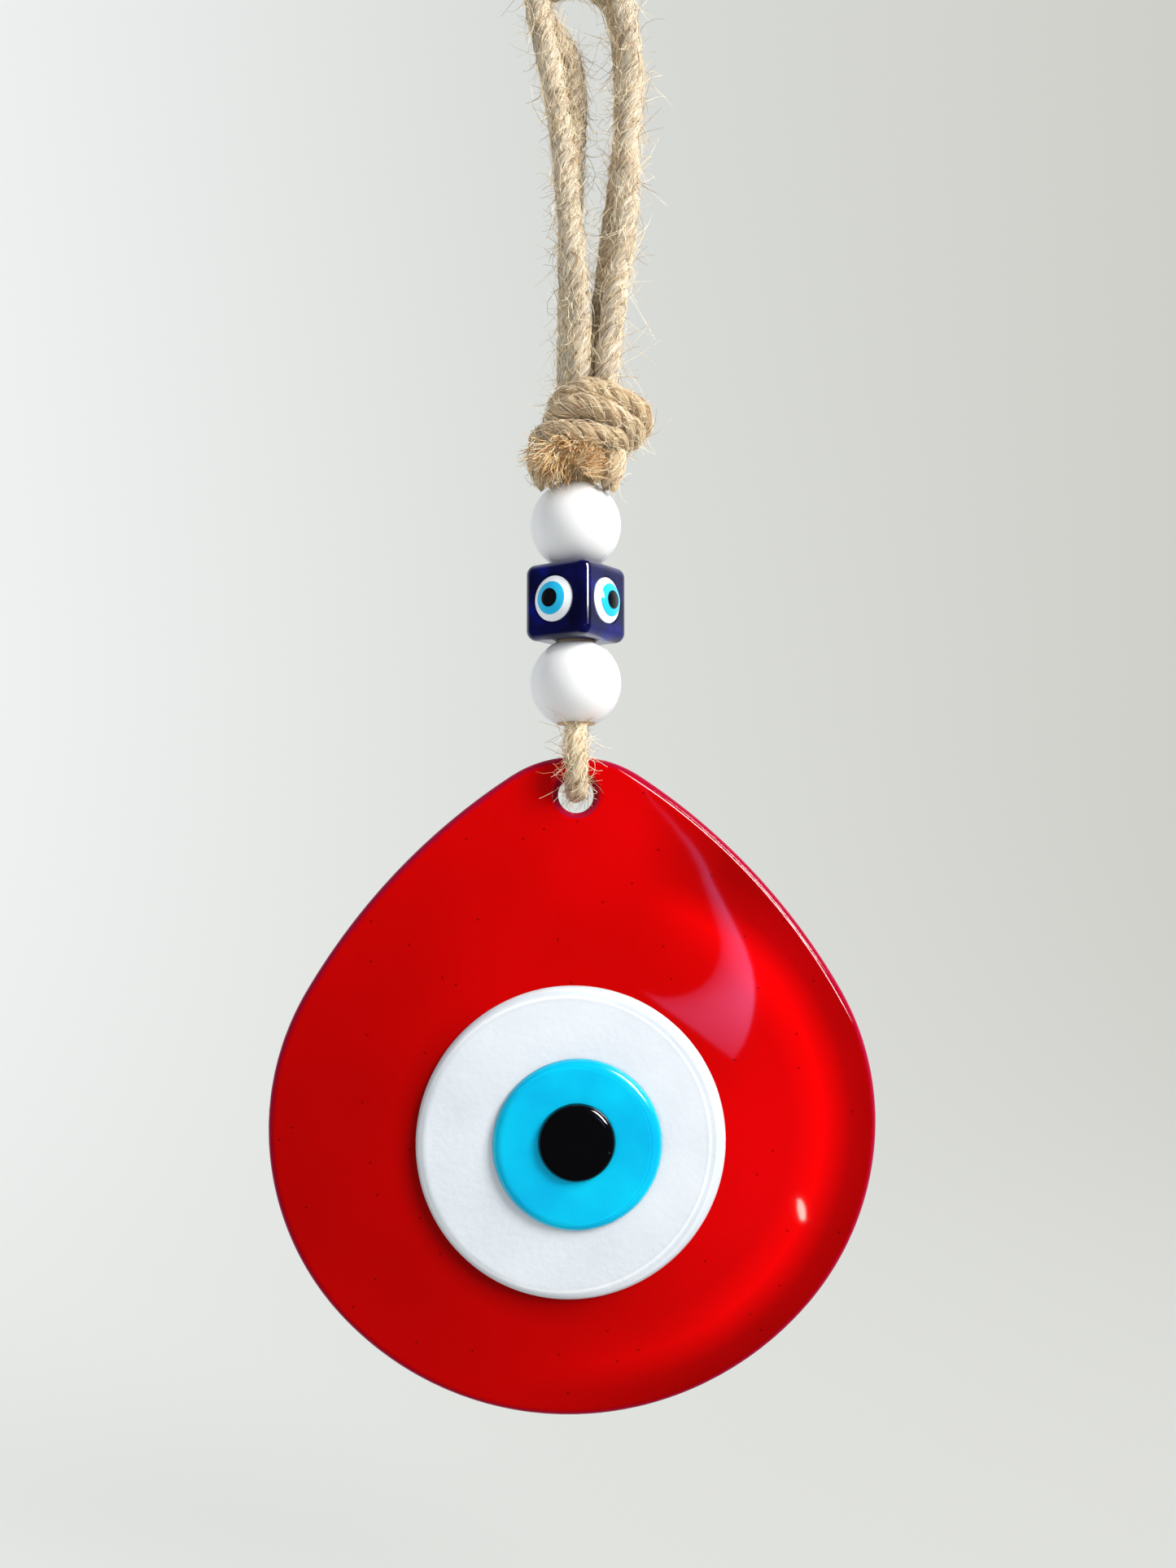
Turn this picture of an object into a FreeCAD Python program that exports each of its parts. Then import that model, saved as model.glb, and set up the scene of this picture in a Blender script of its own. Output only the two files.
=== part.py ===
import math
import os

import FreeCAD
import Part
import Sketcher

# Glass evil-eye wall hanging: a drop-shaped glass plate with a stacked eye,
# hung by a doubled jute cord that runs up through three beads into a knot and
# two hanging loops.  Front faces -Y, +Z is up, millimetres.  The origin is the
# inside top of the hanging loops, where a peg or hook carries the ornament.

Vector = FreeCAD.Vector
doc = FreeCAD.newDocument("EvilEyeOrnament")

# ------------------------------------------------------------------ dimensions
DIMENSIONS = {
    # heights below the inside top of the loops
    "hole_drop": 146.35,
    "knot_bottom_drop": 90.95,
    # glass plate
    "glass_height": 111.85,
    "glass_half_width": 52.2,
    "widest_below_top": 63.0,
    "tip_radius": 20.5,
    "flank_radius": 110.7,
    "shoulder_radius": 45.0,
    "side_radius": 46.25,
    "bottom_radius": 54.4,
    "hole_below_top": 6.8,
    "hole_radius": 3.1,
    "hole_rim_round": 1.7,
    "glass_thickness": 4.2,
    "glass_rim_round": 1.5,
    "dome_radius": 400.0,
    "eye_below_hole": 58.6,
    # stacked eye on the glass
    "white_radius": 26.15,
    "white_height": 1.4,
    "white_shoulder": 1.9,
    "white_shift": -0.9,
    "blue_radius": 14.2,
    "blue_height": 1.4,
    "blue_shoulder": 1.7,
    "pupil_radius": 6.45,
    "pupil_height": 1.2,
    "pupil_shoulder": 1.25,
    "pupil_shift": -0.2,
    "pupil_rise": 0.7,
    # beads
    "bead_radius": 8.0,
    "bore_radius": 3.4,
    "bead_rim_round": 0.35,
    "cube_side": 13.4,
    "cube_round": 1.8,
    "cube_turn": -38.0,
    "bead_gap": 0.08,
    "lower_bead_above_hole": 19.7,
    # small eyes let into the cube's faces
    "small_white_radius": 3.95,
    "small_blue_radius": 2.85,
    "small_black_radius": 1.6,
    "small_dome_height": 1.35,
    "small_step": 0.07,
    "small_seat_depth": 0.3,
    "small_groove": 0.3,
    # knot: squat lower bulk, tilted wrap, ball that fills the wrap
    "bulk_half_width": 8.2,
    "bulk_half_depth": 7.9,
    "bulk_half_height": 7.6,
    "bulk_rise": 6.6,
    "wrap_radius": 5.6,
    "wrap_cord_radius": 3.5,
    "wrap_rise": 12.6,
    "wrap_shift": 4.0,
    "wrap_tilt": 22.0,
    "wrap_core_radius": 5.4,
    "cut_end_radius": 2.5,
    # jute cord
    "cord_diameter": 4.1,
    "bead_cord_radius": 3.3,
    "loop_arc_radius": 8.0,
    "loop_spacing": 4.7,
}

sheet = doc.addObject("Spreadsheet::Sheet", "Dimensions")
for row, (alias, value) in enumerate(DIMENSIONS.items(), start=1):
    sheet.set("A%d" % row, alias)
    sheet.set("B%d" % row, str(value))
    sheet.setAlias("B%d" % row, alias)
doc.recompute()


def size(alias):
    return float(sheet.get(alias))


def cell(alias):
    return "Dimensions.%s" % alias


HOLE_Z = -size("hole_drop")
EYE_Z = HOLE_Z - size("eye_below_hole")
GLASS_TOP_Z = HOLE_Z + size("hole_below_top")
CORD_RADIUS = size("cord_diameter") / 2
BEAD_HALF = math.sqrt(size("bead_radius") ** 2 - size("bore_radius") ** 2)
LOWER_BEAD_Z = HOLE_Z + size("lower_bead_above_hole")
CUBE_Z = LOWER_BEAD_Z + BEAD_HALF + size("bead_gap") + size("cube_side") / 2
UPPER_BEAD_Z = CUBE_Z + size("cube_side") / 2 + size("bead_gap") + BEAD_HALF
BEAD_CORD_BOTTOM_Z = LOWER_BEAD_Z - BEAD_HALF
KNOT_BOTTOM_Z = -size("knot_bottom_drop")

nodes = []


def node(thing, name):
    """Keep an object as a named sub-part that is written to its own file."""
    thing.Label = name
    nodes.append(thing)
    return thing


# ------------------------------------------------------------------- helpers
def origin_plane(body, role):
    for feature in body.Origin.OriginFeatures:
        if feature.Role == role:
            return feature
    raise ValueError("no origin feature " + role)


def new_sketch(body, name, role):
    sketch = body.newObject("Sketcher::SketchObject", name)
    sketch.AttachmentSupport = (origin_plane(body, role), [""])
    sketch.MapMode = "FlatFace"
    return sketch


def bind(sketch, constraint, alias):
    """Add one dimension to a sketch and tie it to a cell of the sheet."""
    index = sketch.addConstraint(constraint)
    sketch.setExpression("Constraints[%d]" % index, cell(alias))
    return index


def boolean(kind, name, base, tool):
    result = doc.addObject(kind, name)
    result.Base = base
    result.Tool = tool
    return result


def sphere(name, centre, radius_expression):
    ball = doc.addObject("Part::Sphere", name)
    ball.setExpression("Radius", radius_expression)
    ball.Placement.Base = centre
    return ball


def cylinder_along_y(name, radius_expression, length, x, y_start, z):
    rod = doc.addObject("Part::Cylinder", name)
    rod.setExpression("Radius", radius_expression)
    rod.Height = length
    rod.Placement = FreeCAD.Placement(
        Vector(x, y_start, z), FreeCAD.Rotation(Vector(1, 0, 0), -90))
    return rod


def round_edges(name, base, radius, wanted):
    """Part::Fillet on the edges that the test `wanted` picks out."""
    doc.recompute()
    fillet = doc.addObject("Part::Fillet", name)
    fillet.Base = base
    edges = base.Shape.Edges
    fillet.Edges = [(i + 1, radius, radius) for i, edge in enumerate(edges) if wanted(edge)]
    doc.recompute()
    return fillet


# ---------------------------------------------------------------- glass plate
# The dome's spheres are centred behind the middle of the eye, so that half the
# glass lies on each side of the plane Y = 0 at the hole.
EYE_LEAN = math.asin(size("eye_below_hole") / size("dome_radius"))
DOME_SAG = size("dome_radius") * (1 - math.cos(EYE_LEAN))
DOME_CENTRE = Vector(0, size("dome_radius") - DOME_SAG, EYE_Z)
FRONT_OF_GLASS = "Dimensions.dome_radius + Dimensions.glass_thickness / 2"
BACK_OF_GLASS = "Dimensions.dome_radius - Dimensions.glass_thickness / 2"
BLANK_DEPTH = 24.0


def arc_from(start, heading, radius, turn):
    """An arc that starts at `start` going along `heading` (degrees below the
    X axis) and turns clockwise by `turn` degrees: centre, end, new heading."""
    first = math.radians(heading)
    last = math.radians(heading + turn)
    centre = Vector(start.x - radius * math.sin(first), start.y - radius * math.cos(first), 0)
    end = Vector(centre.x + radius * math.sin(last), centre.y + radius * math.cos(last), 0)
    return centre, end, heading + turn


def glass_outline():
    """Right half of the drop as five tangent arcs, closed along the axis."""
    body = doc.addObject("PartDesign::Body", "GlassBlank")
    sketch = new_sketch(body, "HalfOutline", "XZ_Plane")
    arcs = ["tip_radius", "flank_radius", "shoulder_radius", "side_radius", "bottom_radius"]
    # rough turns of the arcs: the sketch's constraints settle the exact ones
    rough_turns = [33.5, 26.6, 29.9, 43.0, 47.0]
    point = Vector(0, GLASS_TOP_Z, 0)
    heading = 0.0
    for alias, turn in zip(arcs, rough_turns):
        radius = size(alias)
        centre, end, next_heading = arc_from(point, heading, radius, turn)
        circle = Part.Circle(centre, Vector(0, 0, 1), radius)
        sketch.addGeometry(Part.ArcOfCircle(
            circle, math.radians(90 - next_heading), math.radians(90 - heading)), False)
        point = end
        heading = next_heading
    axis = sketch.addGeometry(Part.LineSegment(point, Vector(0, GLASS_TOP_Z, 0)), False)
    add = sketch.addConstraint
    start, end, centre = 1, 2, 3
    for arc in range(4):
        # each arc runs anticlockwise, so its start is the lower end
        add(Sketcher.Constraint("Tangent", arc, start, arc + 1, end))
    add(Sketcher.Constraint("Coincident", axis, end, 0, end))
    add(Sketcher.Constraint("Coincident", axis, start, 4, start))
    add(Sketcher.Constraint("PointOnObject", 0, end, -2))
    add(Sketcher.Constraint("PointOnObject", 0, centre, -2))
    add(Sketcher.Constraint("PointOnObject", 4, start, -2))
    add(Sketcher.Constraint("PointOnObject", 4, centre, -2))
    add(Sketcher.Constraint("Horizontal", 2, start, 2, centre))
    # the last arc's radius follows from the height and the other four
    for arc, alias in enumerate(arcs[:-1]):
        bind(sketch, Sketcher.Constraint("Radius", arc, size(alias)), alias)
    bind(sketch, Sketcher.Constraint("DistanceX", -1, 1, 2, start, size("glass_half_width")),
         "glass_half_width")
    bind(sketch, Sketcher.Constraint("DistanceY", 2, start, 0, end, size("widest_below_top")),
         "widest_below_top")
    bind(sketch, Sketcher.Constraint("DistanceY", axis, start, axis, end, size("glass_height")),
         "glass_height")
    top = add(Sketcher.Constraint("DistanceY", 0, end, -1, 1, -GLASS_TOP_Z))
    sketch.setExpression("Constraints[%d]" % top,
                         "Dimensions.hole_drop - Dimensions.hole_below_top")
    doc.recompute()
    pad = body.newObject("PartDesign::Pad", "Blank")
    pad.Profile = sketch
    pad.Length = BLANK_DEPTH
    pad.SideType = 2
    doc.recompute()
    mirrored = body.newObject("PartDesign::Mirrored", "BothHalves")
    mirrored.Originals = [pad]
    mirrored.MirrorPlane = (origin_plane(body, "YZ_Plane"), [""])
    body.Tip = mirrored
    doc.recompute()
    return body


def glass_plate():
    blank = glass_outline()
    front = sphere("FrontOfGlass", DOME_CENTRE, FRONT_OF_GLASS)
    back = sphere("BackOfGlass", DOME_CENTRE, BACK_OF_GLASS)
    domed = boolean("Part::Common", "DomedFront", blank, front)
    shell = boolean("Part::Cut", "GlassShell", domed, back)
    bore = cylinder_along_y("GlassHoleBore", cell("hole_radius"), BLANK_DEPTH, 0,
                            -BLANK_DEPTH / 2, HOLE_Z)
    drilled = boolean("Part::Cut", "DrilledGlass", shell, bore)
    hole_centre = Vector(0, 0, HOLE_Z)

    def on_face(edge):
        """Outline edges lie in the two faces; short ones cross the edge of the glass."""
        box = edge.BoundBox
        crosses = box.YLength > size("glass_thickness") * 0.8
        return not crosses or box.ZLength > 2 * size("glass_thickness")

    def at_hole(edge):
        near = (edge.CenterOfMass - hole_centre).Length < size("glass_thickness")
        return near and edge.Length > math.pi * size("hole_radius")

    rounded = round_edges("RoundedRim", drilled, size("glass_rim_round"),
                          lambda edge: on_face(edge) and not at_hole(edge))
    finished = round_edges("RoundedHole", rounded, size("hole_rim_round"), at_hole)
    return node(finished, "glass_drop")


# ------------------------------------------------------------- stacked eye
SHOULDER_LIP = 0.12
DISC_STOCK = 3.0


def eye_disc(name, label, radius, height, shoulder, below, middle, seat_x):
    """A low domed disc with rounded shoulders, its axis `middle` away from the
    eye's.  It is laid on the glass (`below` = 0) or on the discs of total
    height `below`, whose top is centred at `seat_x`."""
    top_radius = size("dome_radius") + size("glass_thickness") / 2 + below + size(height)
    disc_radius = size(radius)
    width = size(shoulder)
    # angle at which the shoulder starts on the domed top, and its own arc
    lean = math.asin((disc_radius - width) / top_radius)
    drop = size(height) - SHOULDER_LIP
    turn = 2 * math.atan2(drop, width)
    round_radius = width / math.sin(turn)
    top_end = Vector(top_radius * math.sin(lean), top_radius * math.cos(lean), 0)
    round_centre = top_end - Vector(math.sin(lean), math.cos(lean), 0) * round_radius
    side = Vector(round_centre.x + round_radius * math.sin(lean + turn),
                  round_centre.y + round_radius * math.cos(lean + turn), 0)
    low = top_radius - size(height) - DISC_STOCK
    body = doc.addObject("PartDesign::Body", name + "Blank")
    sketch = new_sketch(body, name + "Profile", "XY_Plane")
    top_circle = Part.Circle(Vector(0, 0, 0), Vector(0, 0, 1), top_radius)
    side_circle = Part.Circle(round_centre, Vector(0, 0, 1), round_radius)
    right = math.pi / 2
    sketch.addGeometry(Part.ArcOfCircle(top_circle, right - lean, right), False)
    sketch.addGeometry(Part.ArcOfCircle(side_circle, right - lean - turn, right - lean), False)
    sketch.addGeometry(Part.LineSegment(side, Vector(side.x, low, 0)), False)
    sketch.addGeometry(Part.LineSegment(Vector(side.x, low, 0), Vector(0, low, 0)), False)
    sketch.addGeometry(Part.LineSegment(Vector(0, low, 0), Vector(0, top_radius, 0)), False)
    add = sketch.addConstraint
    start, end, centre = 1, 2, 3
    add(Sketcher.Constraint("Coincident", 0, centre, -1, 1))
    add(Sketcher.Constraint("Tangent", 0, start, 1, end))
    add(Sketcher.Constraint("Coincident", 1, start, 2, start))
    add(Sketcher.Constraint("Coincident", 2, end, 3, start))
    add(Sketcher.Constraint("Coincident", 3, end, 4, start))
    add(Sketcher.Constraint("Coincident", 4, end, 0, end))
    add(Sketcher.Constraint("Vertical", 2))
    add(Sketcher.Constraint("Horizontal", 3))
    add(Sketcher.Constraint("PointOnObject", 4, start, -2))
    add(Sketcher.Constraint("PointOnObject", 4, end, -2))
    add(Sketcher.Constraint("Radius", 0, top_radius))
    add(Sketcher.Constraint("DistanceY", -1, 1, 1, start, side.y))
    add(Sketcher.Constraint("DistanceY", -1, 1, 3, end, low))
    bind(sketch, Sketcher.Constraint("DistanceX", -1, 1, 2, start, side.x), radius)
    doc.recompute()
    turned = body.newObject("PartDesign::Revolution", name + "Turned")
    turned.Profile = sketch
    turned.ReferenceAxis = (sketch, ["V_Axis"])
    turned.Angle = 360
    doc.recompute()
    # the disc's axis is +Y in its own sketch; it is laid facing -Y
    body.Placement = FreeCAD.Placement(
        DOME_CENTRE + middle, FreeCAD.Rotation(Vector(1, 0, 0), 180))
    seat = sphere(name + "Seat", DOME_CENTRE + Vector(seat_x, 0, 0),
                  FRONT_OF_GLASS + " + %s" % below)
    laid = boolean("Part::Cut", name, body, seat)
    doc.recompute()
    return node(laid, label)


# --------------------------------------------------------------------- beads
def round_bead(name, label, height):
    """A ball with a straight bore along Z and softened bore rims."""
    body = doc.addObject("PartDesign::Body", name)
    sketch = new_sketch(body, name + "Profile", "XZ_Plane")
    ball = size("bead_radius")
    bore = size("bore_radius")
    tilt = math.acos(bore / ball)
    circle = Part.Circle(Vector(0, 0, 0), Vector(0, 0, 1), ball)
    sketch.addGeometry(Part.ArcOfCircle(circle, -tilt, tilt), False)
    sketch.addGeometry(Part.LineSegment(Vector(bore, BEAD_HALF, 0), Vector(bore, -BEAD_HALF, 0)),
                       False)
    start, end, centre = 1, 2, 3
    sketch.addConstraint(Sketcher.Constraint("Coincident", 0, centre, -1, 1))
    sketch.addConstraint(Sketcher.Constraint("Coincident", 0, end, 1, start))
    sketch.addConstraint(Sketcher.Constraint("Coincident", 0, start, 1, end))
    sketch.addConstraint(Sketcher.Constraint("Vertical", 1))
    bind(sketch, Sketcher.Constraint("Radius", 0, ball), "bead_radius")
    bind(sketch, Sketcher.Constraint("DistanceX", -1, 1, 1, start, bore), "bore_radius")
    doc.recompute()
    turned = body.newObject("PartDesign::Revolution", name + "Turned")
    turned.Profile = sketch
    turned.ReferenceAxis = (sketch, ["V_Axis"])
    turned.Angle = 360
    doc.recompute()
    rims = ["Edge%d" % (i + 1) for i, edge in enumerate(turned.Shape.Edges)
            if abs(edge.BoundBox.XLength - 2 * bore) < 0.01 and edge.BoundBox.ZLength < 0.01]
    softened = body.newObject("PartDesign::Fillet", name + "Rims")
    softened.Base = (turned, rims)
    softened.setExpression("Radius", cell("bead_rim_round"))
    body.Tip = softened
    body.Placement.Base = Vector(0, 0, height)
    doc.recompute()
    return node(body, label)


CUBE_FACES = {"front_left": 0, "front_right": 90, "back_right": 180, "back_left": 270}


def face_turn(face):
    return FreeCAD.Rotation(Vector(0, 0, 1), size("cube_turn") + CUBE_FACES[face])


def face_placement(face, depth):
    """A placement whose local +Z looks out of the named face, `depth` inside it."""
    turn = face_turn(face)
    outward = turn.multVec(Vector(0, -1, 0))
    base = Vector(0, 0, CUBE_Z) + outward * (size("cube_side") / 2 - depth)
    return FreeCAD.Placement(base, turn * FreeCAD.Rotation(Vector(1, 0, 0), 90))


def cube_bead():
    side = size("cube_side")
    block = doc.addObject("Part::Box", "CubeBlock")
    for edge_name in ("Length", "Width", "Height"):
        block.setExpression(edge_name, cell("cube_side"))
    turn = FreeCAD.Rotation(Vector(0, 0, 1), size("cube_turn"))
    corner = turn.multVec(Vector(-side / 2, -side / 2, 0))
    block.Placement = FreeCAD.Placement(corner + Vector(0, 0, CUBE_Z - side / 2), turn)
    shape = round_edges("RoundedCube", block, size("cube_round"), lambda edge: True)
    bore = doc.addObject("Part::Cylinder", "CubeBore")
    bore.setExpression("Radius", cell("bore_radius"))
    bore.Height = 2 * side
    bore.Placement.Base = Vector(0, 0, CUBE_Z - side)
    shape = boolean("Part::Cut", "BoredCube", shape, bore)
    for face in CUBE_FACES:
        seat = doc.addObject("Part::Cylinder", "Seat_" + face)
        seat.setExpression("Radius", "Dimensions.small_white_radius + Dimensions.small_groove")
        seat.Height = LAYER_STOCK
        seat.Placement = face_placement(face, size("small_seat_depth"))
        shape = boolean("Part::Cut", "SeatedCube_" + face, shape, seat)
    doc.recompute()
    return node(shape, "bead_cube")


LAYER_STOCK = 5.0


def small_eye(face):
    """Three nested layers, white, light blue and black, under one low dome."""
    chord = size("small_white_radius")
    rise = size("small_dome_height")
    dome = (chord ** 2 + rise ** 2) / (2 * rise)
    layers = [("white", "small_white_radius", "small_blue_radius", 0),
              ("blue", "small_blue_radius", "small_black_radius", 1),
              ("black", "small_black_radius", None, 2)]
    placement = face_placement(face, size("small_seat_depth"))
    for colour, outer, inner, step in layers:
        name = "SmallEye_%s_%s" % (face, colour)
        disc = doc.addObject("Part::Cylinder", name + "_disc")
        disc.setExpression("Radius", cell(outer))
        disc.Height = LAYER_STOCK
        disc.Placement = placement
        cap = doc.addObject("Part::Sphere", name + "_cap")
        cap.setExpression("Radius", "%r + %d * Dimensions.small_step" % (dome, step))
        cap.Placement.Base = placement.multVec(
            Vector(0, 0, rise + size("small_seat_depth") - dome))
        shape = boolean("Part::Common", name + "_dome", disc, cap)
        if inner:
            core = doc.addObject("Part::Cylinder", name + "_core")
            core.setExpression("Radius", cell(inner))
            core.Height = LAYER_STOCK
            core.Placement = placement
            shape = boolean("Part::Cut", name, shape, core)
        node(shape, "cube_eye_%s_%s" % (face, colour))
    doc.recompute()


# ---------------------------------------------------------------------- cord
def cord_tube(route, diameter, name):
    """A round tube along straight runs joined by tangent arcs, each arc as
    large as its two runs allow."""
    edges = []
    radii = []
    last = route[0]
    for before, corner, after in zip(route, route[1:], route[2:]):
        run_in = corner - before
        run_out = after - corner
        half_turn = run_in.getAngle(run_out) / 2
        reach = 0.45 * min(run_in.Length, run_out.Length)
        first = corner - run_in.normalize() * reach
        final = corner + run_out.normalize() * reach
        radius = reach / math.tan(half_turn)
        inward = (first + final) * 0.5 - corner
        inward.normalize()
        middle = corner + inward * (radius / math.cos(half_turn) - radius)
        edges.append(Part.LineSegment(last, first).toShape())
        edges.append(Part.Arc(first, middle, final).toShape())
        radii.append(round(radius, 1))
        last = final
    edges.append(Part.LineSegment(last, route[-1]).toShape())
    wire = Part.Wire(edges)
    circle = Part.Circle(route[0], route[1] - route[0], diameter / 2)
    tube = wire.makePipeShell([Part.Wire([circle.toShape()])], True, False)
    swept = math.pi * diameter ** 2 / 4 * wire.Length
    print("%s: length %.1f, volume ratio %.4f, radii %s"
          % (name, wire.Length, tube.Volume / swept, radii))
    return tube


def cord_node(route, name):
    feature = doc.addObject("Part::Feature", name)
    feature.Shape = cord_tube(route, size("cord_diameter"), name)
    return node(feature, name)


def loop_route(left_leg, right_leg, depth):
    """Up the left leg, round the peg in four equal turns, down the right leg.
    Legs are (x, height above the hole) pairs from the knot upwards."""
    arc = size("loop_arc_radius")
    peg_z = CORD_RADIUS - arc
    half_run = arc * math.tan(math.radians(22.5))
    crown = [(-arc, half_run), (-half_run, arc), (half_run, arc), (arc, half_run)]
    route = [Vector(x, depth, HOLE_Z + height) for x, height in left_leg]
    route += [Vector(x, depth, peg_z + rise) for x, rise in crown]
    route += [Vector(x, depth, HOLE_Z + height) for x, height in reversed(right_leg)]
    return route


FRONT_LEFT_LEG = [(0.4, 72.0), (0.7, 84.0), (-1.0, 99.0), (-2.3, 115.0), (-4.7, 130.0)]
FRONT_RIGHT_LEG = [(5.2, 72.0), (6.1, 84.0), (8.6, 99.0), (8.9, 114.0), (10.2, 130.0)]
REAR_LEFT_LEG = [(-1.3, 72.0), (-1.0, 85.0), (-1.1, 101.0), (-0.4, 115.0), (-2.0, 127.0),
                 (-6.5, 136.6)]
REAR_RIGHT_LEG = [(4.6, 72.0), (4.7, 85.0), (6.4, 100.0), (8.6, 114.0), (9.4, 129.0)]


def hanging_loops():
    half_gap = size("loop_spacing") / 2
    cord_node(loop_route(FRONT_LEFT_LEG, FRONT_RIGHT_LEG, -half_gap), "hanging_loop_front")
    cord_node(loop_route(REAR_LEFT_LEG, REAR_RIGHT_LEG, half_gap), "hanging_loop_rear")


def hole_sling():
    """Both strands leave the lower bead, straddle the glass and join in one
    turn through its hole."""
    route = [(-2.08, 12.4), (-2.08, 10.6), (-4.4, 7.2), (-5.0, 3.4), (-2.2, 0.6),
             (2.2, 0.6), (5.3, 3.4), (5.3, 7.2), (2.08, 10.6), (2.08, 12.4)]
    cord_node([Vector(0, y, HOLE_Z + z) for y, z in route], "hole_sling")


def bead_cords():
    """The doubled cord inside the beads: two strands pressed to half rounds."""
    radius = size("bead_cord_radius")
    height = KNOT_BOTTOM_Z - BEAD_CORD_BOTTOM_Z
    for side, turn in (("front", 180), ("rear", 0)):
        strand = doc.addObject("Part::Cylinder", "bead_cord_" + side)
        strand.setExpression("Radius", cell("bead_cord_radius"))
        strand.Height = height
        strand.Angle = 180
        strand.Placement = FreeCAD.Placement(
            Vector(0, 0, BEAD_CORD_BOTTOM_Z), FreeCAD.Rotation(Vector(0, 0, 1), turn))
        node(strand, "bead_cord_" + side)


# ---------------------------------------------------------------------- knot
def knot():
    """Outer shape of the overhand knot: a squat lower bulk with a tilted
    wrap over its top right."""
    bulk = doc.addObject("Part::Ellipsoid", "KnotBulk")
    bulk.setExpression("Radius1", cell("bulk_half_height"))
    bulk.setExpression("Radius2", cell("bulk_half_width"))
    bulk.setExpression("Radius3", cell("bulk_half_depth"))
    bulk.Angle1 = -90
    bulk.Angle2 = 90
    bulk.Placement.Base = Vector(0, 0, KNOT_BOTTOM_Z + size("bulk_rise"))
    wrap_centre = Vector(size("wrap_shift"), 0, KNOT_BOTTOM_Z + size("wrap_rise"))
    wrap = doc.addObject("Part::Torus", "KnotWrap")
    wrap.setExpression("Radius1", cell("wrap_radius"))
    wrap.setExpression("Radius2", cell("wrap_cord_radius"))
    wrap.Placement = FreeCAD.Placement(
        wrap_centre, FreeCAD.Rotation(Vector(0, 1, 0), size("wrap_tilt")))
    core = sphere("KnotCore", wrap_centre - Vector(1.0, 0, 0.2), cell("wrap_core_radius"))
    lump = boolean("Part::Fuse", "KnotLump", bulk, wrap)
    whole = boolean("Part::Fuse", "KnotWhole", lump, core)
    # the bead's top is cut off flat
    block = 5 * size("bulk_half_width")
    below = doc.addObject("Part::Box", "BelowKnot")
    below.Length = block
    below.Width = block
    below.Height = block
    below.Placement.Base = Vector(-block / 2, -block / 2, KNOT_BOTTOM_Z - block)
    trimmed = boolean("Part::Cut", "Knot", whole, below)
    doc.recompute()
    return node(trimmed, "knot")


def cut_end(label, start, finish):
    """A short frayed end of the cord standing out of the knot."""
    direction = finish - start
    end = doc.addObject("Part::Cone", label)
    end.setExpression("Radius1", "0.85 * " + cell("cut_end_radius"))
    end.setExpression("Radius2", cell("cut_end_radius"))
    end.Height = direction.Length
    end.Placement = FreeCAD.Placement(start, FreeCAD.Rotation(Vector(0, 0, 1), direction))
    return node(end, label)


# --------------------------------------------------------------------- build
glass_plate()
WHITE_X = size("white_shift")
WHITE_HEIGHT = size("white_height")
eye_disc("WhiteDisc", "eye_white_disc", "white_radius", "white_height", "white_shoulder",
         0.0, Vector(WHITE_X, 0, 0), 0.0)
eye_disc("BlueDisc", "eye_blue_disc", "blue_radius", "blue_height", "blue_shoulder",
         WHITE_HEIGHT, Vector(0, 0, 0), WHITE_X)
eye_disc("Pupil", "eye_pupil", "pupil_radius", "pupil_height", "pupil_shoulder",
         WHITE_HEIGHT + size("blue_height"),
         Vector(size("pupil_shift"), 0, size("pupil_rise")), 0.0)
round_bead("LowerBead", "bead_lower", LOWER_BEAD_Z)
round_bead("UpperBead", "bead_upper", UPPER_BEAD_Z)
cube_bead()
for cube_face in CUBE_FACES:
    small_eye(cube_face)
bead_cords()
hole_sling()
hanging_loops()
knot()
cut_end("cut_end_left", Vector(-2.6, -5.0, KNOT_BOTTOM_Z + 7.6),
        Vector(-6.2, -6.6, KNOT_BOTTOM_Z + 1.9))
cut_end("cut_end_right", Vector(0.4, -5.4, KNOT_BOTTOM_Z + 6.6),
        Vector(4.6, -7.0, KNOT_BOTTOM_Z + 2.6))
doc.recompute()

for thing in doc.Objects:
    bad = [word for word in thing.State if word in ("Invalid", "Error")]
    if bad:
        raise RuntimeError("%s failed: %s" % (thing.Name, bad))
for part in nodes:
    if part.Shape.isNull() or not part.Shape.isValid():
        raise RuntimeError("%s has no valid shape" % part.Label)
    if len(part.Shape.Solids) != 1:
        raise RuntimeError("%s has %d solids" % (part.Label, len(part.Shape.Solids)))

os.makedirs("parts", exist_ok=True)
for part in nodes:
    part.Shape.exportStep("parts/%s.step" % part.Label)
    box = part.Shape.BoundBox
    print("%-28s volume %10.2f  z %8.2f..%8.2f  y %6.2f..%6.2f"
          % (part.Label, part.Shape.Volume, box.ZMin, box.ZMax, box.YMin, box.YMax))
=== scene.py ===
"""Looks of the glass evil-eye ornament: materials, jute cord, knot, studio."""
import math

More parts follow.
